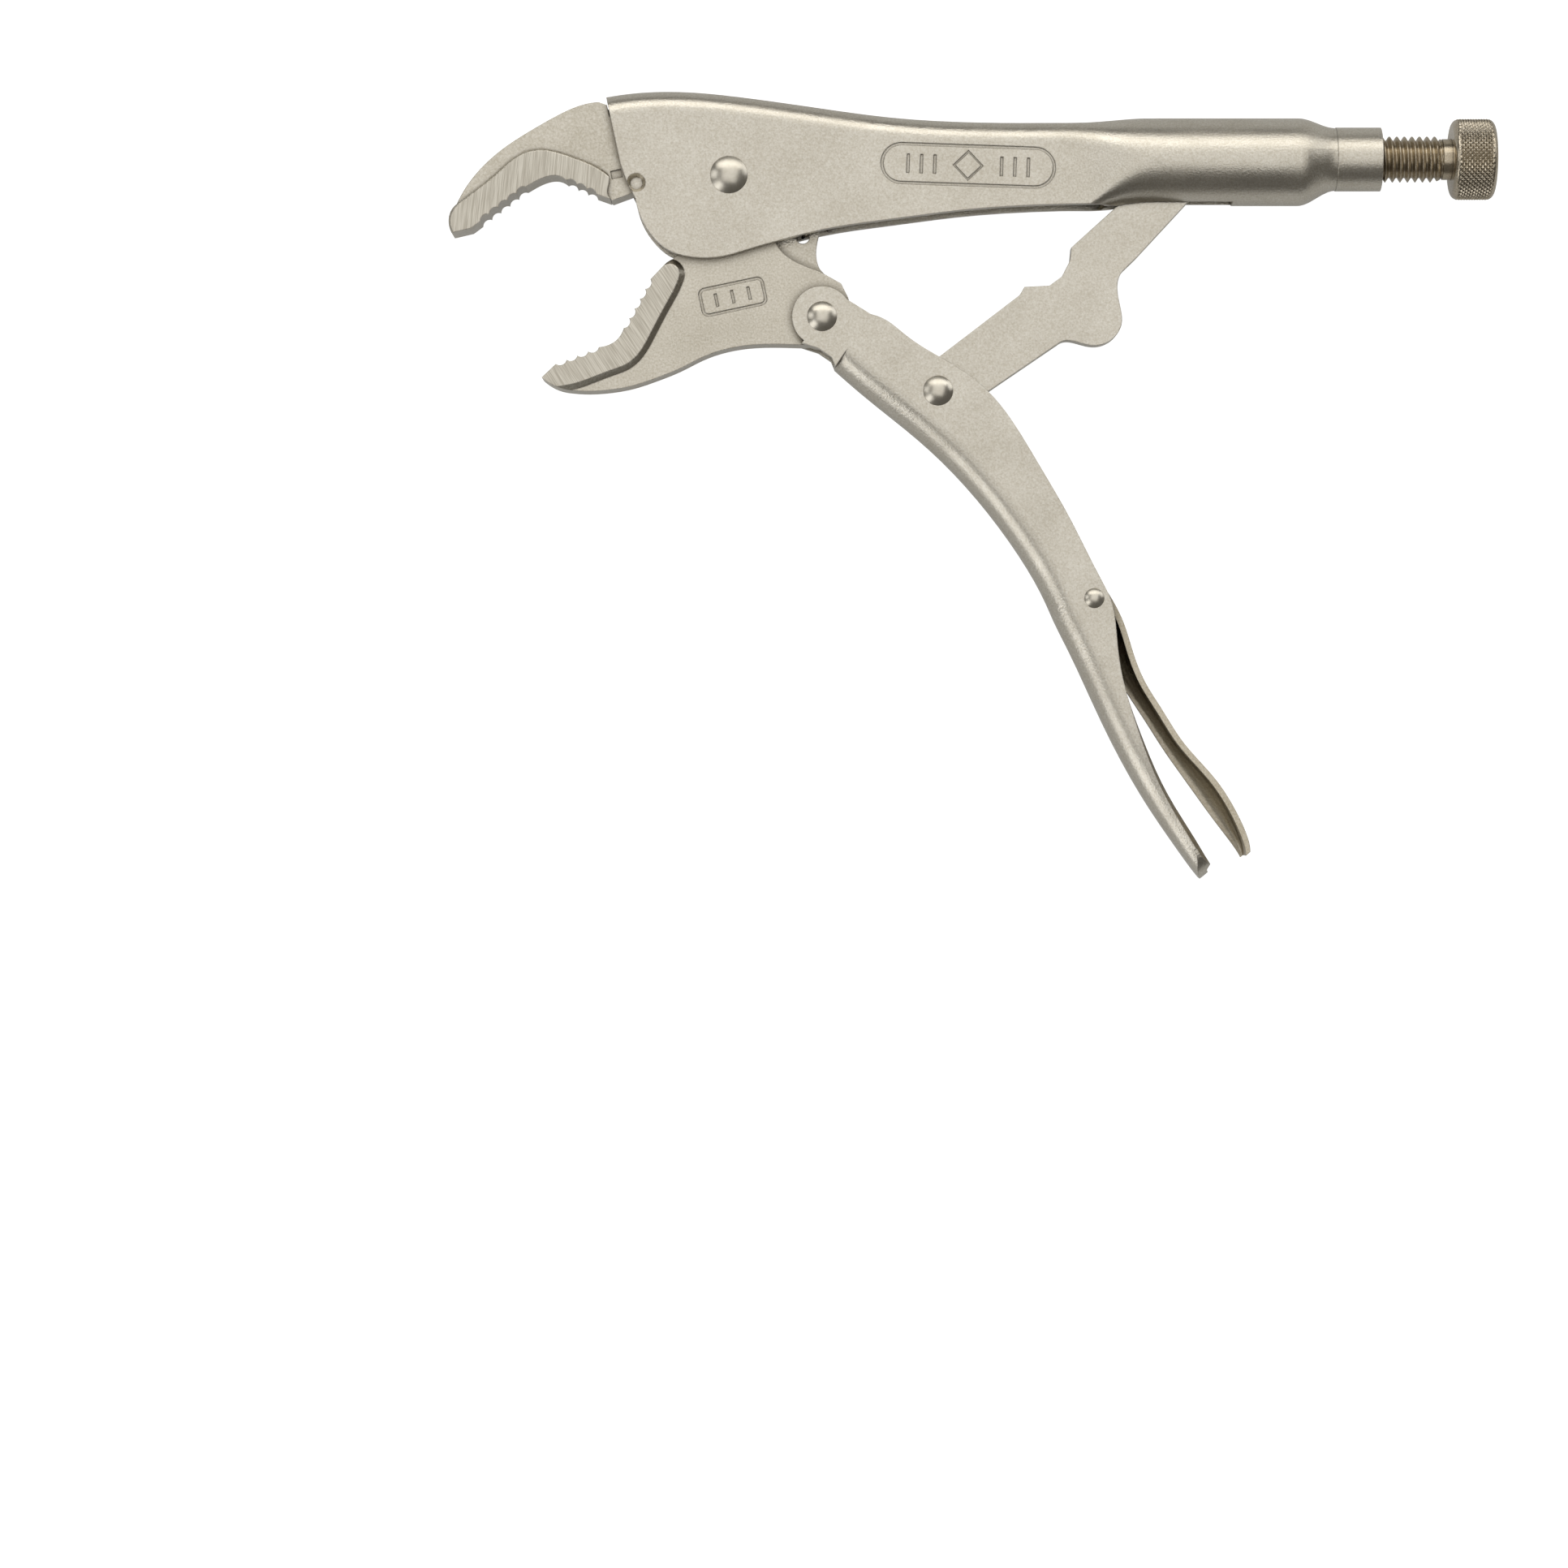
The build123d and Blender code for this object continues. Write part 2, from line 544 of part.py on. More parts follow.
# ---- release lever -------------------------------------------------------------------
# outer face of the web and free edge of the flange, from the pivot to the tip
lever_stations = [
    ((88.6, -96.2), (81.4, -99.4)),
    ((92.2, -102.0), (84.6, -104.6)),
    ((94.8, -107.4), (87.6, -109.4)),
    ((96.8, -113.7), (91.4, -115.6)),
    ((99.6, -120.9), (95.4, -122.8)),
    ((104.0, -128.1), (100.3, -130.4)),
    ((108.6, -135.3), (104.9, -137.6)),
    ((113.4, -140.9), (109.2, -143.7)),
    ((117.5, -145.7), (113.0, -149.0)),
    ((121.4, -151.9), (117.3, -154.9)),
    ((124.3, -158.2), (121.4, -160.3)),
    ((125.1, -162.2), (123.5, -163.6)),
]


def lever_face(station):
    """One section of the lever: a web that stands up and a flange along the far side."""
    web, free = station
    direction = Vector(web[0] - free[0], web[1] - free[1], 0)
    width = direction.length
    bend = max(min(lever_bend_radius, width - 0.4), lever_sheet + 0.1)
    low = -lever_half
    plane = Plane(origin=(free[0], free[1], 0), x_dir=direction,
                  z_dir=direction.cross(Vector(0, 0, 1)))
    centre = (width - bend, low + bend)
    return plane * make_face([
        Line((0, low), (width - bend, low)),
        CenterArc(centre, bend, -90, 90),
        Polyline((width, low + bend), (width, lever_half), (width - lever_sheet, lever_half),
                 (width - lever_sheet, low + bend)),
        CenterArc(centre, bend - lever_sheet, 0, -90),
        Polyline((width - bend, low + lever_sheet), (0, low + lever_sheet), (0, low)),
    ])


def release_lever():
    nose_line = [(78.0, -93.8), (79.2, -91.6), (84.0, -92.6), (88.6, -96.2), (90.2, -98.6)]
    under_nose = beside(nose_line, -lever_sheet)
    nose = slab([Polyline(*nose_line, *reversed(under_nose), close=True)],
                -lever_half, lever_half)
    ear_outline = [(79.0, -94.4), (79.6, -92.4), (83.8, -93.2), (88.2, -96.6), (91.6, -102.3),
                   (94.2, -107.9), (96.1, -114.0), (98.4, -119.8), (91.6, -115.2),
                   (86.4, -106.6), (82.0, -98.8)]
    near_outline = [(79.0, -94.4), (79.6, -92.4), (83.8, -93.2), (87.4, -97.2), (90.0, -102.4),
                    (90.6, -107.0), (86.4, -106.6), (82.0, -98.8)]
    near_ear = slab([Polyline(*near_outline, close=True)],
                    lever_half - lever_sheet, lever_half)
    far_ear = slab([Polyline(*ear_outline, close=True)],
                   -lever_half, -lever_half + lever_sheet)
    tail = loft([lever_face(station) for station in lever_stations])
    lever = tail + nose + near_ear + far_ear
    return lever - rivet_hole(lever_pivot, lever_rivet_radius + running_gap)


# ---- screw, spring and rivets --------------------------------------------------------
def adjusting_screw():
    thread_end = knob_start_x - shank_length
    screw = turned(screw_axis_y, [
        (screw_tip_x, 0), (screw_tip_x, screw_radius - 1.4), (screw_tip_x + 1.4, screw_radius),
        (thread_end, screw_radius), (thread_end, shank_radius), (knob_start_x + 1, shank_radius),
        (knob_start_x + 1, 0)])
    knob_middle = (knob_start_x + knob_length / 2, screw_axis_y, 0)
    knob = Pos(*knob_middle) * Rot(0, 90, 0) * Cylinder(knob_radius, knob_length)
    knob = fillet(knob.edges().filter_by(GeomType.CIRCLE), knob_edge_radius)
    socket_plane = Plane(origin=(knob_end_x, screw_axis_y, 0), x_dir=(0, 1, 0), z_dir=(1, 0, 0))
    hexagon = socket_plane * RegularPolygon(hex_socket_across / 2, 6, major_radius=False)
    return screw + knob - extrude(hexagon, amount=-hex_socket_depth)


def return_spring():
    run = Vector(spring_tab_hole[0] - spring_ear_hole[0],
                 spring_tab_hole[1] - spring_ear_hole[1], 0)
    length = run.length
    line = Plane(origin=(spring_ear_hole[0], spring_ear_hole[1], 0), x_dir=(0, 0, 1), z_dir=run)
    loop_reach = 2 * spring_loop_radius
    coil_length = length - 2 * loop_reach
    coil = Cylinder(spring_radius, coil_length)
    coil -= Cylinder(spring_radius - spring_wire, coil_length - 2 * spring_wire)
    loop = Rot(90, 0, 0) * Torus(spring_loop_radius, spring_wire / 2)
    near = Pos(0, 0, spring_loop_radius) * loop
    far = Pos(0, 0, length - spring_loop_radius) * loop
    body = Pos(0, 0, length / 2) * coil
    return line * (body + near + far)


def main_rivet():
    return rivet(main_pivot, main_rivet_radius, main_head_radius, main_head_height)


def jaw_rivet():
    return rivet(jaw_pivot, joint_rivet_radius, joint_head_radius, joint_head_height)


def link_rivet():
    return rivet(link_pivot, joint_rivet_radius, joint_head_radius, joint_head_height)


def lever_rivet():
    return rivet(lever_pivot, lever_rivet_radius, lever_head_radius, lever_head_height)


# ---- the whole tool ------------------------------------------------------------------
pieces = {
    "fixed_handle": fixed_handle(),
    "upper_jaw": upper_jaw(),
    "lower_jaw": lower_jaw(),
    "lower_handle": lower_handle(),
    "toggle_link": toggle_link(),
    "release_lever": release_lever(),
    "adjusting_screw": adjusting_screw(),
    "return_spring": return_spring(),
    "main_pivot_rivet": main_rivet(),
    "jaw_handle_rivet": jaw_rivet(),
    "link_rivet": link_rivet(),
    "release_lever_rivet": lever_rivet(),
}

# the origin goes to the middle of the underside of the whole tool
box = Compound(children=[Compound(piece.solids()) for piece in pieces.values()]).bounding_box()
shift = (-(box.min.X + box.max.X) / 2, -(box.min.Y + box.max.Y) / 2, -box.min.Z)
print("main pivot at", [round(value, 3) for value in shift])

os.makedirs("parts", exist_ok=True)
for name, piece in pieces.items():
    export_step(Pos(*shift) * Compound(piece.solids()), f"parts/{name}.step")
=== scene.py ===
from math import ceil, cos, pi, radians, sin

import bpy
import bmesh
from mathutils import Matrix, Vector


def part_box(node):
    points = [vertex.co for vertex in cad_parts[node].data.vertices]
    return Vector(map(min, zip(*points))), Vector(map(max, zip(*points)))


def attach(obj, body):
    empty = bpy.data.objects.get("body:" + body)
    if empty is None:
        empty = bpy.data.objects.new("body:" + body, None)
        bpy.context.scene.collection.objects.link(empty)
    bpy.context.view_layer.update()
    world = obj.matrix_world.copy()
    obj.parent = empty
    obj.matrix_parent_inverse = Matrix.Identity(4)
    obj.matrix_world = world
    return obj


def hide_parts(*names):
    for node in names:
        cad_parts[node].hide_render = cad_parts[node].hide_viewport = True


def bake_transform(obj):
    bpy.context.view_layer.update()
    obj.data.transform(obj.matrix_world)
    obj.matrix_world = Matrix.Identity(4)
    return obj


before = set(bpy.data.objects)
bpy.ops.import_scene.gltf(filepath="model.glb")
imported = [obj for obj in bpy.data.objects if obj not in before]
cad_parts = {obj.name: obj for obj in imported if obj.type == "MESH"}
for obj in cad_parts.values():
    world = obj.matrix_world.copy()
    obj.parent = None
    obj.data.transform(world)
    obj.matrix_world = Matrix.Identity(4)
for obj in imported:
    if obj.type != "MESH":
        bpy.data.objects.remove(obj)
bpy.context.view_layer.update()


# ---- fixed handle ----------------------------------------------------------------------
# One blank of steel sheet, folded round the upper jaw in front and rolled into a tube
# behind, where its end is swaged down to a threaded neck. Bead-blasted, then nickel plated.
millimetre = 0.001


def linear(hex_colour):
    """An sRGB hex colour as the linear colour that a shader wants."""
    channels = [int(hex_colour[i:i + 2], 16) / 255 for i in (1, 3, 5)]
    return [c / 12.92 if c <= 0.04045 else ((c + 0.055) / 1.055) ** 2.4
            for c in channels] + [1]


def node(tree, kind, settings=(), links=()):
    """One more node: settings by socket or property name, links as (socket, node, output)."""
    added = tree.nodes.new(kind)
    for name, value in dict(settings).items():
        if isinstance(name, int) or name in added.inputs:
            added.inputs[name].default_value = value
        else:
            setattr(added, name, value)
    for socket, source, output in links:
        tree.links.new(source.outputs[output], added.inputs[socket])
    return added


def plated_nickel(name, light, dark, roughness, grain_mm, relief_mm, edge_mm=0.35,
                  painted_shade_mm=1.6):
    """Nickel over prepared steel: a fine grain, faint clouds and softly worn edges.

    Near creases, recesses and meeting parts an ambient-occlusion mask darkens the colour
    towards brown: painted shade."""
    crease_shade_brown = "#5A5348"
    cloud_mm = 14
    cloud_share, grain_share = 0.2, 0.75
    darkest_grain, lightest_grain = 0.3, 0.68
    fully_shaded_at, unshaded_at = 0.35, 0.85
    dullest_cloud, glossiest_cloud = 0.3, 0.7
    roughness_spread = 0.05

    material = bpy.data.materials.new(name)
    material.use_nodes = True
    tree = material.node_tree
    tree.nodes.clear()
    place = node(tree, "ShaderNodeTexCoord")
    grain = node(tree, "ShaderNodeTexNoise",
                 {"Scale": 1 / (grain_mm * millimetre), "Detail": 2.0, "Roughness": 0.6},
                 [("Vector", place, "Object")])
    clouds = node(tree, "ShaderNodeTexNoise",
                  {"Scale": 1 / (cloud_mm * millimetre), "Detail": 3.0, "Roughness": 0.55},
                  [("Vector", place, "Object")])
    blotch = node(tree, "ShaderNodeMath", {"operation": "MULTIPLY", 1: cloud_share},
                  [(0, clouds, "Fac")])
    mixing = node(tree, "ShaderNodeMath", {"operation": "MULTIPLY_ADD", 1: grain_share},
                  [(0, grain, "Fac"), (2, blotch, 0)])
    steps = node(tree, "ShaderNodeMapRange",
                 {"From Min": darkest_grain, "From Max": lightest_grain},
                 [("Value", mixing, 0)])
    colour = node(tree, "ShaderNodeMix",
                  {"data_type": "RGBA", 6: linear(dark), 7: linear(light)},
                  [(0, steps, "Result")])
    # Painted shade: where ambient occlusion finds nearby surfaces, the colour is darkened
    # towards brown.
    shade_occlusion = node(tree, "ShaderNodeAmbientOcclusion",
                  {"samples": 6, "Distance": painted_shade_mm * millimetre})
    open_air = node(tree, "ShaderNodeMapRange",
                    {"From Min": fully_shaded_at, "From Max": unshaded_at}, [("Value", shade_occlusion, "AO")])
    painted_shade_mix = node(tree, "ShaderNodeMix",
                      {"data_type": "RGBA", 6: linear(crease_shade_brown)},
                      [(0, open_air, "Result"), (7, colour, 2)])
    rough = node(tree, "ShaderNodeMapRange",
                 {"From Min": dullest_cloud, "From Max": glossiest_cloud,
                  "To Min": roughness + roughness_spread,
                  "To Max": roughness - roughness_spread}, [("Value", clouds, "Fac")])
    edges = node(tree, "ShaderNodeBevel", {"samples": 4, "Radius": edge_mm * millimetre})
    bump = node(tree, "ShaderNodeBump",
                {"Strength": 1.0, "Distance": relief_mm * millimetre},
                [("Height", grain, "Fac"), ("Normal", edges, "Normal")])
    shader = node(tree, "ShaderNodeBsdfPrincipled", {"Metallic": 1.0},
                  [("Base Color", painted_shade_mix, 2), ("Roughness", rough, "Result"),
                   ("Normal", bump, "Normal")])
    node(tree, "ShaderNodeOutputMaterial", (), [("Surface", shader, "BSDF")])
    return material


def dress(piece, material):
    """Gives a piece one material all over."""
    piece.data.materials.clear()
    piece.data.materials.append(material)


# Nickel over bead-blasted sheet: an even, pale, slightly warm satin with soft highlights
# and a fine sparkle. A blasted grain is finer than this one, which is coarse to show.
# Painted shade darkens it towards brown within 1.6 mm of creases and meeting parts.
satin_nickel = plated_nickel("satin_nickel_on_pressed_sheet", "#DFDBD1", "#C2BBAC",
                             roughness=0.32, grain_mm=0.45, relief_mm=0.06)
dress(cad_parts["fixed_handle"], satin_nickel)

# ---- jaws ------------------------------------------------------------------------------
# Two drop forgings of the same steel. Both faces of each tooth pad are ground flat after
# forging and then plated with the rest, so the pads keep fine straight scratches.
def ground_pads(material, pad_low, pad_high, slant, spacing_mm, light, dark):
    """Adds the ground pads: bright and dark scratches on the highest and lowest faces."""
    stretch = 0.03
    faintest, strongest = 0.36, 0.64
    scratch_depth = 0.22
    pad_starts, pad_is_full = 0.12 * millimetre, 0.06 * millimetre

    tree = material.node_tree
    shader = next(n for n in tree.nodes if n.type == "BSDF_PRINCIPLED")
    forged_colour = shader.inputs["Base Color"].links[0].from_socket
    place = node(tree, "ShaderNodeTexCoord")
    turned = node(tree, "ShaderNodeVectorRotate",
                  {"rotation_type": "Z_AXIS", "Angle": radians(slant)},
                  [("Vector", place, "Object")])
    across = 1 / (spacing_mm * millimetre)
    squeezed = node(tree, "ShaderNodeVectorMath",
                    {"operation": "MULTIPLY", 1: (across, across * stretch, across)},
                    [(0, turned, "Vector")])
    scratches = node(tree, "ShaderNodeTexNoise", {"Scale": 1.0, "Detail": 3.0},
                     [("Vector", squeezed, "Vector")])
    parts = node(tree, "ShaderNodeSeparateXYZ", (), [("Vector", place, "Object")])
    centre, half = (pad_low + pad_high) / 2, (pad_high - pad_low) / 2
    rise = node(tree, "ShaderNodeMath", {"operation": "SUBTRACT", 1: centre},
                [(0, parts, "Z")])
    height = node(tree, "ShaderNodeMath", {"operation": "ABSOLUTE"}, [(0, rise, 0)])
    on_pad = node(tree, "ShaderNodeMapRange",
                  {"From Min": half - pad_starts, "From Max": half - pad_is_full},
                  [("Value", height, 0)])
    streaks = node(tree, "ShaderNodeMapRange",
                   {"From Min": faintest, "From Max": strongest},
                   [("Value", scratches, "Fac")])
    ground = node(tree, "ShaderNodeMix",
                  {"data_type": "RGBA", 6: linear(dark), 7: linear(light)},
                  [(0, streaks, "Result")])
    forged_or_ground = node(tree, "ShaderNodeMix", {"data_type": "RGBA"},
                            [(0, on_pad, "Result"), (7, ground, 2)])
    tree.links.new(forged_colour, forged_or_ground.inputs[6])
    tree.links.new(forged_or_ground.outputs[2], shader.inputs["Base Color"])
    bump = shader.inputs["Normal"].links[0].from_node
    forged_grain = bump.inputs["Height"].links[0].from_socket
    shallow = node(tree, "ShaderNodeMath", {"operation": "MULTIPLY", 1: scratch_depth},
                   [(0, scratches, "Fac")])
    relief = node(tree, "ShaderNodeMix", {"data_type": "FLOAT"},
                  [(0, on_pad, "Result"), (3, shallow, 0)])
    tree.links.new(forged_grain, relief.inputs[2])
    tree.links.new(relief.outputs[0], bump.inputs["Height"])


# Nickel over a blasted forging: rougher and a shade duller than the sheet. Where it is
# ground it looks brushed. The scratches are drawn coarser than real ones, to show.
for name, slant in (("upper_jaw", 6.0), ("lower_jaw", -33.0)):
    # Painted shade darkens these forgings towards brown within 3 mm of recesses and meeting
    # parts.
    forged_nickel = plated_nickel("ground_and_plated_" + name, "#DDD8CD", "#BDB6A6",
                                  roughness=0.32, grain_mm=0.5, relief_mm=0.075,
                                  painted_shade_mm=3.0)
    low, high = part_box(name)
    ground_pads(forged_nickel, low.z, high.z, slant, spacing_mm=0.22,
                light="#D6D1C5", dark="#B4AEA1")
    dress(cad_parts[name], forged_nickel)

# ---- lower handle and link -------------------------------------------------------------
# Two more pressings from the same sheet stock: a deep channel and a flat plate with lugs,
# blasted and plated like the fixed handle, so they share its satin.
for name in ("lower_handle", "toggle_link"):
    dress(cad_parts[name], satin_nickel)

# ---- release lever ---------------------------------------------------------------------
# A thinner pressing with a rolled-over edge, so it lies like a small trough. Painted shade
# reaching 9 mm makes the inside of that trough browner and darker than the rims.
trough_nickel = plated_nickel("nickel_in_pressed_trough_with_painted_shade", "#D3CCBD", "#B0A690",
                              roughness=0.3, grain_mm=0.4, relief_mm=0.03, edge_mm=0.25,
                              painted_shade_mm=9.0)
dress(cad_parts["release_lever"], trough_nickel)

# ---- rivets ----------------------------------------------------------------------------
# Plain steel rivets set through both walls. Their domed heads come smooth from the header, so
# under the same plating each shows one soft round glint and a darker rim; painted shade where
# the head meets the sheet adds to that rim.
polished_nickel = plated_nickel("polished_nickel_on_rivet_heads", "#DCD7CB", "#CFC9BB",
                                roughness=0.32, grain_mm=1.2, relief_mm=0.006,
                                edge_mm=0.1)
for name in ("main_pivot_rivet", "jaw_handle_rivet", "link_rivet", "release_lever_rivet"):
    dress(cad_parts[name], polished_nickel)

# ---- adjusting screw -------------------------------------------------------------------
# Turned from bar: a rolled coarse thread 11 mm across, a short shank and a knob rolled with
# a diamond knurl. Its plating is thinner and comes out darker and browner.
def mesh_piece(name, vertices, faces, smooth_angle=35):
    """A new object from points and faces, smooth but for its sharp edges."""
    same_point = 1e-7
    data = bpy.data.meshes.new(name)
    data.from_pydata(vertices, [], faces)
    shape = bmesh.new()
    shape.from_mesh(data)
    bmesh.ops.remove_doubles(shape, verts=shape.verts, dist=same_point)
    bmesh.ops.recalc_face_normals(shape, faces=shape.faces)
    sharp = radians(smooth_angle)
    for edge in shape.edges:
        edge.smooth = not (edge.is_manifold and edge.calc_face_angle() > sharp)
    for face in shape.faces:
        face.smooth = True
    shape.to_mesh(data)
    shape.free()
    piece = bpy.data.objects.new(name, data)
    bpy.context.scene.collection.objects.link(piece)
    return piece


screw_low, screw_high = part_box("adjusting_screw")
axis_y = (screw_low.y + screw_high.y) / 2
axis_z = (screw_low.z + screw_high.z) / 2
knob_radius = (screw_high.z - screw_low.z) / 2
knob_length = 10.4 * millimetre
shank_length = 2.2 * millimetre
shank_radius = 4.9 * millimetre
crest_radius = 5.5 * millimetre
thread_depth = 1.05 * millimetre
threads_per_inch = 14
thread_pitch = 25.4 / threads_per_inch * millimetre
crest_share, flank_share = 0.1, 0.75
tip_chamfer = 1.4 * millimetre
run_out_length = 0.9 * thread_pitch
run_out_share = 0.8
knob_start = screw_high.x - knob_length
thread_end = knob_start - shank_length
thread_start = screw_low.x


def thread_radius(along, turn):
    """Radius of the thread's surface at a place along the screw and an angle round it."""
    phase = ((along - thread_start) / thread_pitch - turn / (2 * pi)) % 1
    flank = min(1, max(0, (abs(phase - 0.5) * 2 - crest_share) / flank_share))
    lead_in = min(1, (along - thread_start) / tip_chamfer)
    run_out = min(1, max(0, (thread_end - along) / run_out_length))
    body = crest_radius - thread_depth * flank
    top = (crest_radius - thread_depth * (1 - run_out) * run_out_share
           - tip_chamfer * (1 - lead_in))
    return min(body, top)


def ring(along, radius_at, count):
    """One ring of points round the screw's axis."""
    points = []
    for i in range(count):
        turn = 2 * pi * i / count
        radius = radius_at(along, turn)
        points.append((along, axis_y + radius * cos(turn), axis_z + radius * sin(turn)))
    return points


def skin(rings):
    """Faces that join rings of points, with both ends closed."""
    count = len(rings[0])
    points = [p for one in rings for p in one]
    faces = []
    for r in range(len(rings) - 1):
        for i in range(count):
            j = (i + 1) % count
            faces.append((r * count + i, r * count + j, (r + 1) * count + j,
                          (r + 1) * count + i))
    faces.append(tuple(range(count)))
    faces.append(tuple(range((len(rings) - 1) * count, len(rings) * count)))
    return points, faces


thread_sides = 72
rings_per_pitch = 20
thread_length = thread_end - thread_start
thread_steps = ceil(thread_length / thread_pitch * rings_per_pitch)
rings = [ring(thread_start + thread_length * i / thread_steps, thread_radius, thread_sides)
         for i in range(thread_steps + 1)]
shank_start, shank_end = thread_end + 0.1 * millimetre, knob_start + 0.2 * millimetre
for along in (shank_start, shank_end):
    rings.append(ring(along, lambda a, t: shank_radius, thread_sides))
thread = mesh_piece("adjusting_screw_thread", *skin(rings), smooth_angle=50)

# A coarse knurl, with its points about 1.3 mm apart round the knob.
knurl_teeth = 48
knurl_depth = 0.52 * millimetre
knurl_flat = 0.15
knob_corner = 1.9 * millimetre
plain_rim = 0.9 * millimetre
knurl_fade = 0.7 * millimetre


def knob_edge(along):
    """Radius of the plain knob before knurling, with a rounded corner at each end."""
    inside = min(along - knob_start, screw_high.x - along)
    if inside >= knob_corner:
        return knob_radius
    rise = max(0.0, 1 - ((knob_corner - inside) / knob_corner) ** 2)
    return knob_radius - knob_corner * (1 - rise ** 0.5)


def knurled_radius(along, turn):
    """Crossing left-hand and right-hand grooves leave rows of four-sided points."""
    lead = 2 * pi * knob_radius / knurl_teeth
    right = (along / lead + turn / (2 * pi) * knurl_teeth) % 1
    left = (along / lead - turn / (2 * pi) * knurl_teeth) % 1
    groove = max(abs(right - 0.5), abs(left - 0.5)) * 2
    inside = min(along - knob_start, screw_high.x - along)
    fade = min(1, max(0, (inside - plain_rim) / knurl_fade))
    return knob_edge(along) - knurl_depth * max(0, groove - knurl_flat) * fade


knurl_sides = knurl_teeth * 8
knurl_steps = 96
corner_places = [knob_corner * (1 - cos(radians(a))) for a in (0, 8, 16, 24, 32)]
places = [knob_start + p for p in corner_places]
inner_start, inner_end = places[-1], screw_high.x - corner_places[-1]
places += [inner_start + (inner_end - inner_start) * i / knurl_steps
           for i in range(1, knurl_steps)]
places += [screw_high.x - p for p in reversed(corner_places)]
points, faces = skin([ring(p, knurled_radius, knurl_sides) for p in places])
faces = faces[:-1]

socket_flat = 6.35 / 2 * millimetre
socket_depth = 6.0 * millimetre
socket_lead_in = 0.7 * millimetre
dish_radius = 5.2 * millimetre
dish_depth = 0.4 * millimetre
dish_slope = 0.8 * millimetre
rim_start = len(points) - knurl_sides


def hexagon_radius(turn):
    """Distance from the axis to the side of the hexagonal socket."""
    return socket_flat / cos((turn + pi / 6) % (pi / 3) - pi / 6)


for depth, radius_at in ((0, lambda t: dish_radius),
                         (dish_depth, lambda t: max(hexagon_radius(t),
                                                    dish_radius - dish_slope)),
                         (socket_lead_in, hexagon_radius),
                         (socket_depth, hexagon_radius)):
    base = len(points)
    for i in range(knurl_sides):
        turn = 2 * pi * i / knurl_sides
        points.append((screw_high.x - depth, axis_y + radius_at(turn) * cos(turn),
                       axis_z + radius_at(turn) * sin(turn)))
        j = (i + 1) % knurl_sides
        faces.append((rim_start + i, rim_start + j, base + j, base + i))
    rim_start = base
faces.append(tuple(range(rim_start, rim_start + knurl_sides)))
knob = mesh_piece("adjusting_screw_knob", points, faces, smooth_angle=40)

# Thin nickel over machined steel: smoother and glossier than the handles, with a bronze cast.
# Painted shade darkens the roots between the threads and in the knurl, so the crests stand
# out bright.
bronze_nickel = plated_nickel("dark_nickel_on_turned_screw", "#CDC3B1", "#A3967F",
                              roughness=0.27, grain_mm=0.35, relief_mm=0.012,
                              edge_mm=0.05, painted_shade_mm=0.35)
knurled_nickel = plated_nickel("dark_nickel_on_knurled_knob", "#D3CABA", "#A89C86",
                               roughness=0.24, grain_mm=0.35, relief_mm=0.008,
                               edge_mm=0.02, painted_shade_mm=0.8)
for piece, finish in ((thread, bronze_nickel), (knob, knurled_nickel)):
    dress(piece, finish)
    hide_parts("adjusting_screw")
    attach(piece, "screw")

# ---- return spring ---------------------------------------------------------------------
# Hard-drawn steel wire, close wound, with a loop bent up at each end: one hooks through the
# lower jaw's thin ear, the other through the tab inside the fixed handle.
pivot_low, pivot_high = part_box("main_pivot_rivet")
pivot = (pivot_low + pivot_high) / 2
ear_hole = pivot + Vector((17.7, -14.3, 0)) * millimetre
tab_hole = pivot + Vector((48.0, 7.2, 0)) * millimetre
wire_radius = 0.5 * millimetre
wire_sides = 10
coil_radius = 2.5 * millimetre
coil_pitch = 1.15 * millimetre
steps_per_turn = 22
coil_rise = 0.45 * pi
hook_radius = 2.9 * millimetre
hook_sweep = 325
hook_steps = 28
hook_meets_coils = 180
spring_length = (tab_hole - ear_hole).length
coils = (spring_length - 4 * hook_radius) / coil_pitch


def hook(turn):
    """A place on an end loop: height above the spring's line and distance from its end."""
    return hook_radius * sin(turn), hook_radius * (1 - cos(turn))


def wire_line():
    """The spring wire's centre line as (height, sideways, distance along) points."""
    line = []
    open_end = hook_meets_coils - hook_sweep
    for i in range(hook_steps + 1):
        height, along = hook(radians(open_end + hook_sweep * i / hook_steps))
        line.append((height, 0, along))
    steps = round(coils * steps_per_turn)
    for i in range(1, steps):
        turn = 2 * pi * coils * i / steps
        from_end = min(turn, 2 * pi * coils - turn)
        radius = coil_radius * min(1, from_end / coil_rise) ** 0.6
        along = 2 * hook_radius + coils * coil_pitch * i / steps
        line.append((-radius * sin(turn), radius * cos(turn), along))
    for i in range(hook_steps + 1):
        height, along = hook(radians(hook_meets_coils - hook_sweep * i / hook_steps))
        line.append((height, 0, spring_length - along))
    return line


def round_wire(line, radius, sides):
    """A round wire along a line of points, its section carried along without twisting."""
    points, faces = [], []
    side = None
    for i, here in enumerate(line):
        ahead = (line[min(i + 1, len(line) - 1)] - line[max(i - 1, 0)]).normalized()
        side = ahead.orthogonal() if side is None else side - ahead * side.dot(ahead)
        side.normalize()
        other = ahead.cross(side)
        for k in range(sides):
            turn = 2 * pi * k / sides
            points.append(here + radius * (side * cos(turn) + other * sin(turn)))
            if i:
                last, k_next = (i - 1) * sides, (k + 1) % sides
                faces.append((last + k, last + k_next, last + sides + k_next,
                              last + sides + k))
    faces += [tuple(range(sides)), tuple(range(len(points) - sides, len(points)))]
    return points, faces


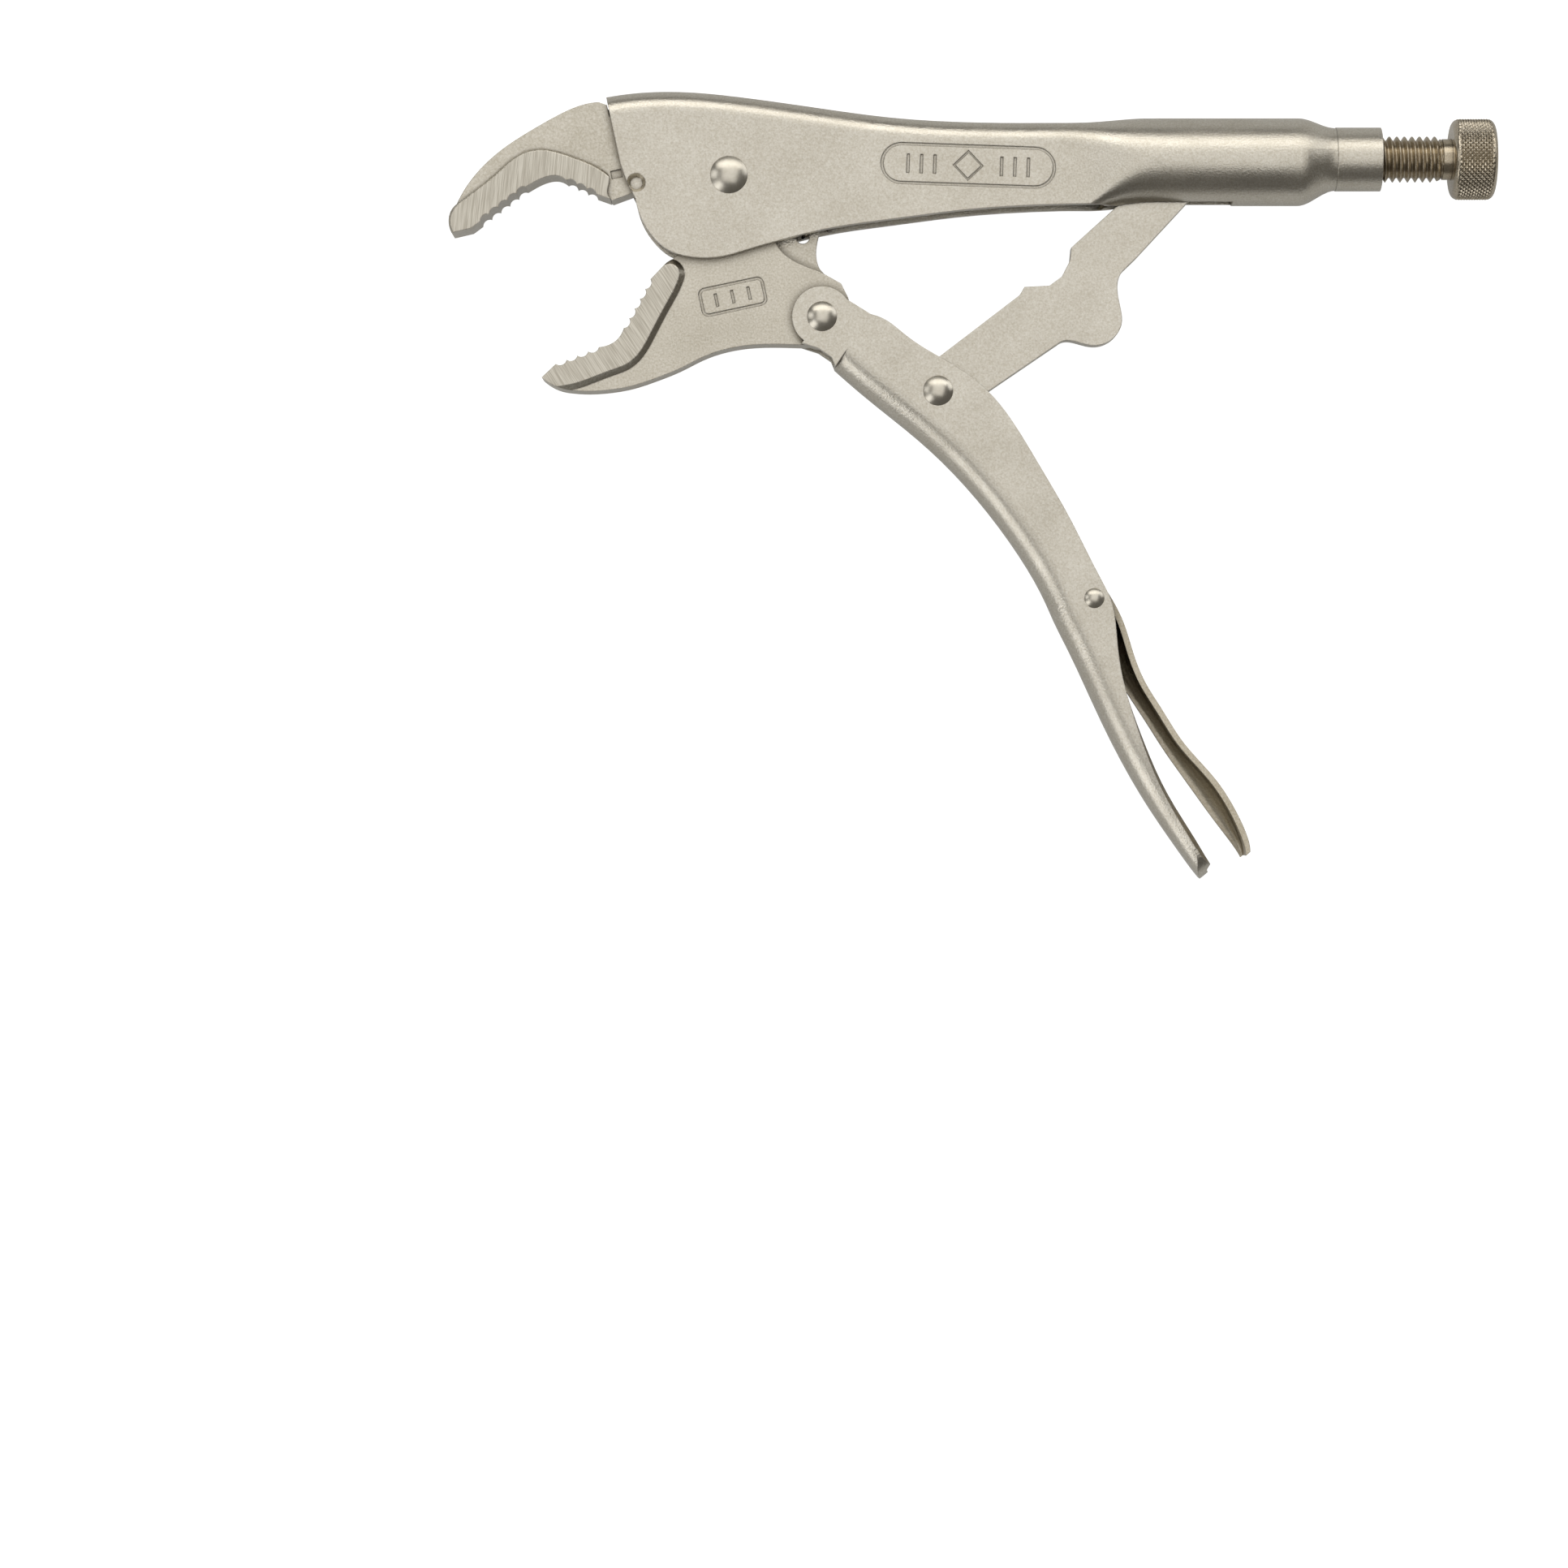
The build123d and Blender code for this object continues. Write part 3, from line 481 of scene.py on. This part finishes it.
up = Vector((0, 0, 1))
spring_run = (tab_hole - ear_hole).normalized()
spring_side = up.cross(spring_run)
wire = [ear_hole + up * height + spring_side * sideways + spring_run * along
        for height, sideways, along in wire_line()]
spring = mesh_piece("return_spring_wire", *round_wire(wire, wire_radius, wire_sides))

# Oiled bare wire: a dark grey-brown metal with thin bright lines along each turn; painted
# shade darkens it between the close turns.
drawn_wire = plated_nickel("oiled_spring_wire", "#8F887C", "#6B655B", roughness=0.3,
                           grain_mm=0.6, relief_mm=0.004, edge_mm=0.02)
dress(spring, drawn_wire)
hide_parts("return_spring")
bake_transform(spring)

# ---- studio ----------------------------------------------------------------------------
# A sheet of white paper under a large soft ceiling light, with a long bright window along
# the far side and smaller ones left, right and low in front on the left. The paper and the
# room glow brightly where the camera sees them and stay dim in the metal's reflections.
def brighter_to_the_eye(tree, seen, reflected):
    """A strength that is high where it is looked at and low where metal reflects it."""
    rays = node(tree, "ShaderNodeLightPath")
    return node(tree, "ShaderNodeMapRange", {"To Min": reflected, "To Max": seen},
                [("Value", rays, "Is Camera Ray")])


floor_reach = 12.0
white_seen = 0.95
paper_reflected, room_reflected = 0.24, 0.13
corners = ((-1, -1), (1, -1), (1, 1), (-1, 1))
floor_data = bpy.data.meshes.new("floor")
floor_data.from_pydata([(x * floor_reach, y * floor_reach, 0) for x, y in corners], [],
                       [(0, 1, 2, 3)])
floor = bpy.data.objects.new("floor", floor_data)
bpy.context.scene.collection.objects.link(floor)

# Uncoated paper, lit until it is nearly white: matt, with only a faint shadow on it.
paper = bpy.data.materials.new("white_paper_floor")
paper.use_nodes = True
tree = paper.node_tree
tree.nodes.clear()
glow = brighter_to_the_eye(tree, white_seen, paper_reflected)
matt = node(tree, "ShaderNodeBsdfPrincipled",
            {"Base Color": linear("#9F9F9D"), "Roughness": 0.9, "Specular IOR Level": 0.1,
             "Emission Color": linear("#FFFFFF")}, [("Emission Strength", glow, "Result")])
node(tree, "ShaderNodeOutputMaterial", (), [("Surface", matt, "BSDF")])
dress(floor, paper)


def softbox(name, place, size, radiance, tint="#FFFFFF"):
    """A rectangular studio light at a place, turned towards the tool."""
    middle_of_tool = Vector((0.0, 0.0, 0.01))
    light = bpy.data.lights.new(name, "AREA")
    light.shape = "RECTANGLE"
    light.size, light.size_y = size
    light.energy = radiance * pi * size[0] * size[1]
    light.color = linear(tint)[:3]
    lamp = bpy.data.objects.new(name, light)
    bpy.context.scene.collection.objects.link(lamp)
    lamp.location = place
    towards = middle_of_tool - Vector(place)
    lamp.rotation_euler = towards.to_track_quat("-Z", "Y").to_euler()
    lamp.visible_camera = False


softbox("ceiling_softbox", (0.05, 0.3, 2.0), (2.4, 2.4), 0.85, "#FFFEFC")
softbox("far_window", (0.0, 1.35, 1.05), (3.0, 0.85), 1.75, "#FFFDF9")
softbox("left_window", (-1.6, 0.3, 0.9), (0.8, 0.9), 1.2)
softbox("right_window", (1.5, 0.85, 0.5), (1.1, 0.8), 1.3)
softbox("low_left_window", (-1.15, -0.85, 0.75), (0.75, 1.3), 1.5)

world = bpy.data.worlds.new("studio")
bpy.context.scene.world = world
world.use_nodes = True
room = world.node_tree.nodes["Background"]
room.inputs["Color"].default_value = linear("#F1ECE4")
room_glow = brighter_to_the_eye(world.node_tree, white_seen, room_reflected)
world.node_tree.links.new(room_glow.outputs["Result"], room.inputs["Strength"])
bpy.context.scene.view_settings.view_transform = "Standard"

# The camera looks straight down from 1.2 m, a little right of the main pivot and below it.
camera_right, camera_below, camera_height = 0.01319, 0.1459, 1.210
camera_data = bpy.data.cameras.new("camera")
camera_data.sensor_width = 36
camera_data.lens = 115.3
camera = bpy.data.objects.new("camera", camera_data)
bpy.context.scene.collection.objects.link(camera)
camera.location = (pivot.x + camera_right, pivot.y - camera_below,
                   pivot.z + camera_height)
bpy.context.scene.camera = camera
